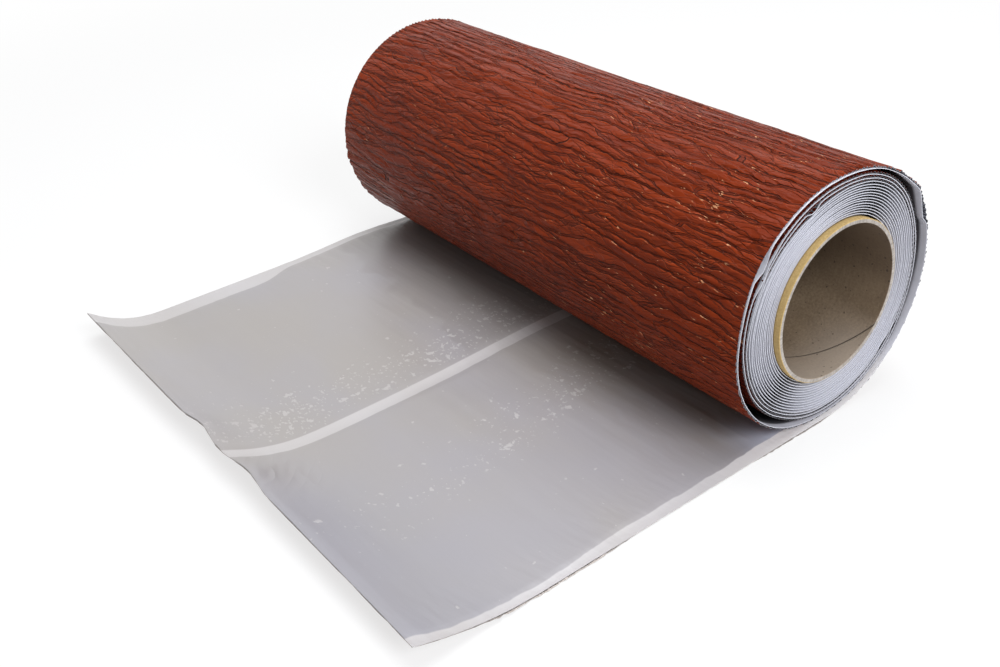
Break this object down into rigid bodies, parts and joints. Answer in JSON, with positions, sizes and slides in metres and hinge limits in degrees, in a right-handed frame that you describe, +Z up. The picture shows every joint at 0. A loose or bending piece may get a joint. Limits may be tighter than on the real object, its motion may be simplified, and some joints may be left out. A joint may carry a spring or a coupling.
{
  "type": "roll of lead-free flashing",
  "caption": "Roll of crimped, colour-coated flashing strip on a cardboard tube, with its free end unrolled film side up.",
  "frame": {"origin": "on the floor, straight below the middle of the core tube's axis", "axes": "+Y along the core tube's axis, +Z up, and the free end lies towards -X"},
  "size_m": [0.2786, 0.303, 0.1176],
  "materials": {
    "cardboard": "matt grey-brown board",
    "coated_metal": "satin terracotta coating over crimped metal",
    "film": "semi-gloss white film, grey where it is wetted by the adhesive"
  },
  "bodies": {
    "root": {"core_tube": "cardboard", "flashing_strip": "coated_metal", "release_film": "film"}
  },
  "joints": []
}
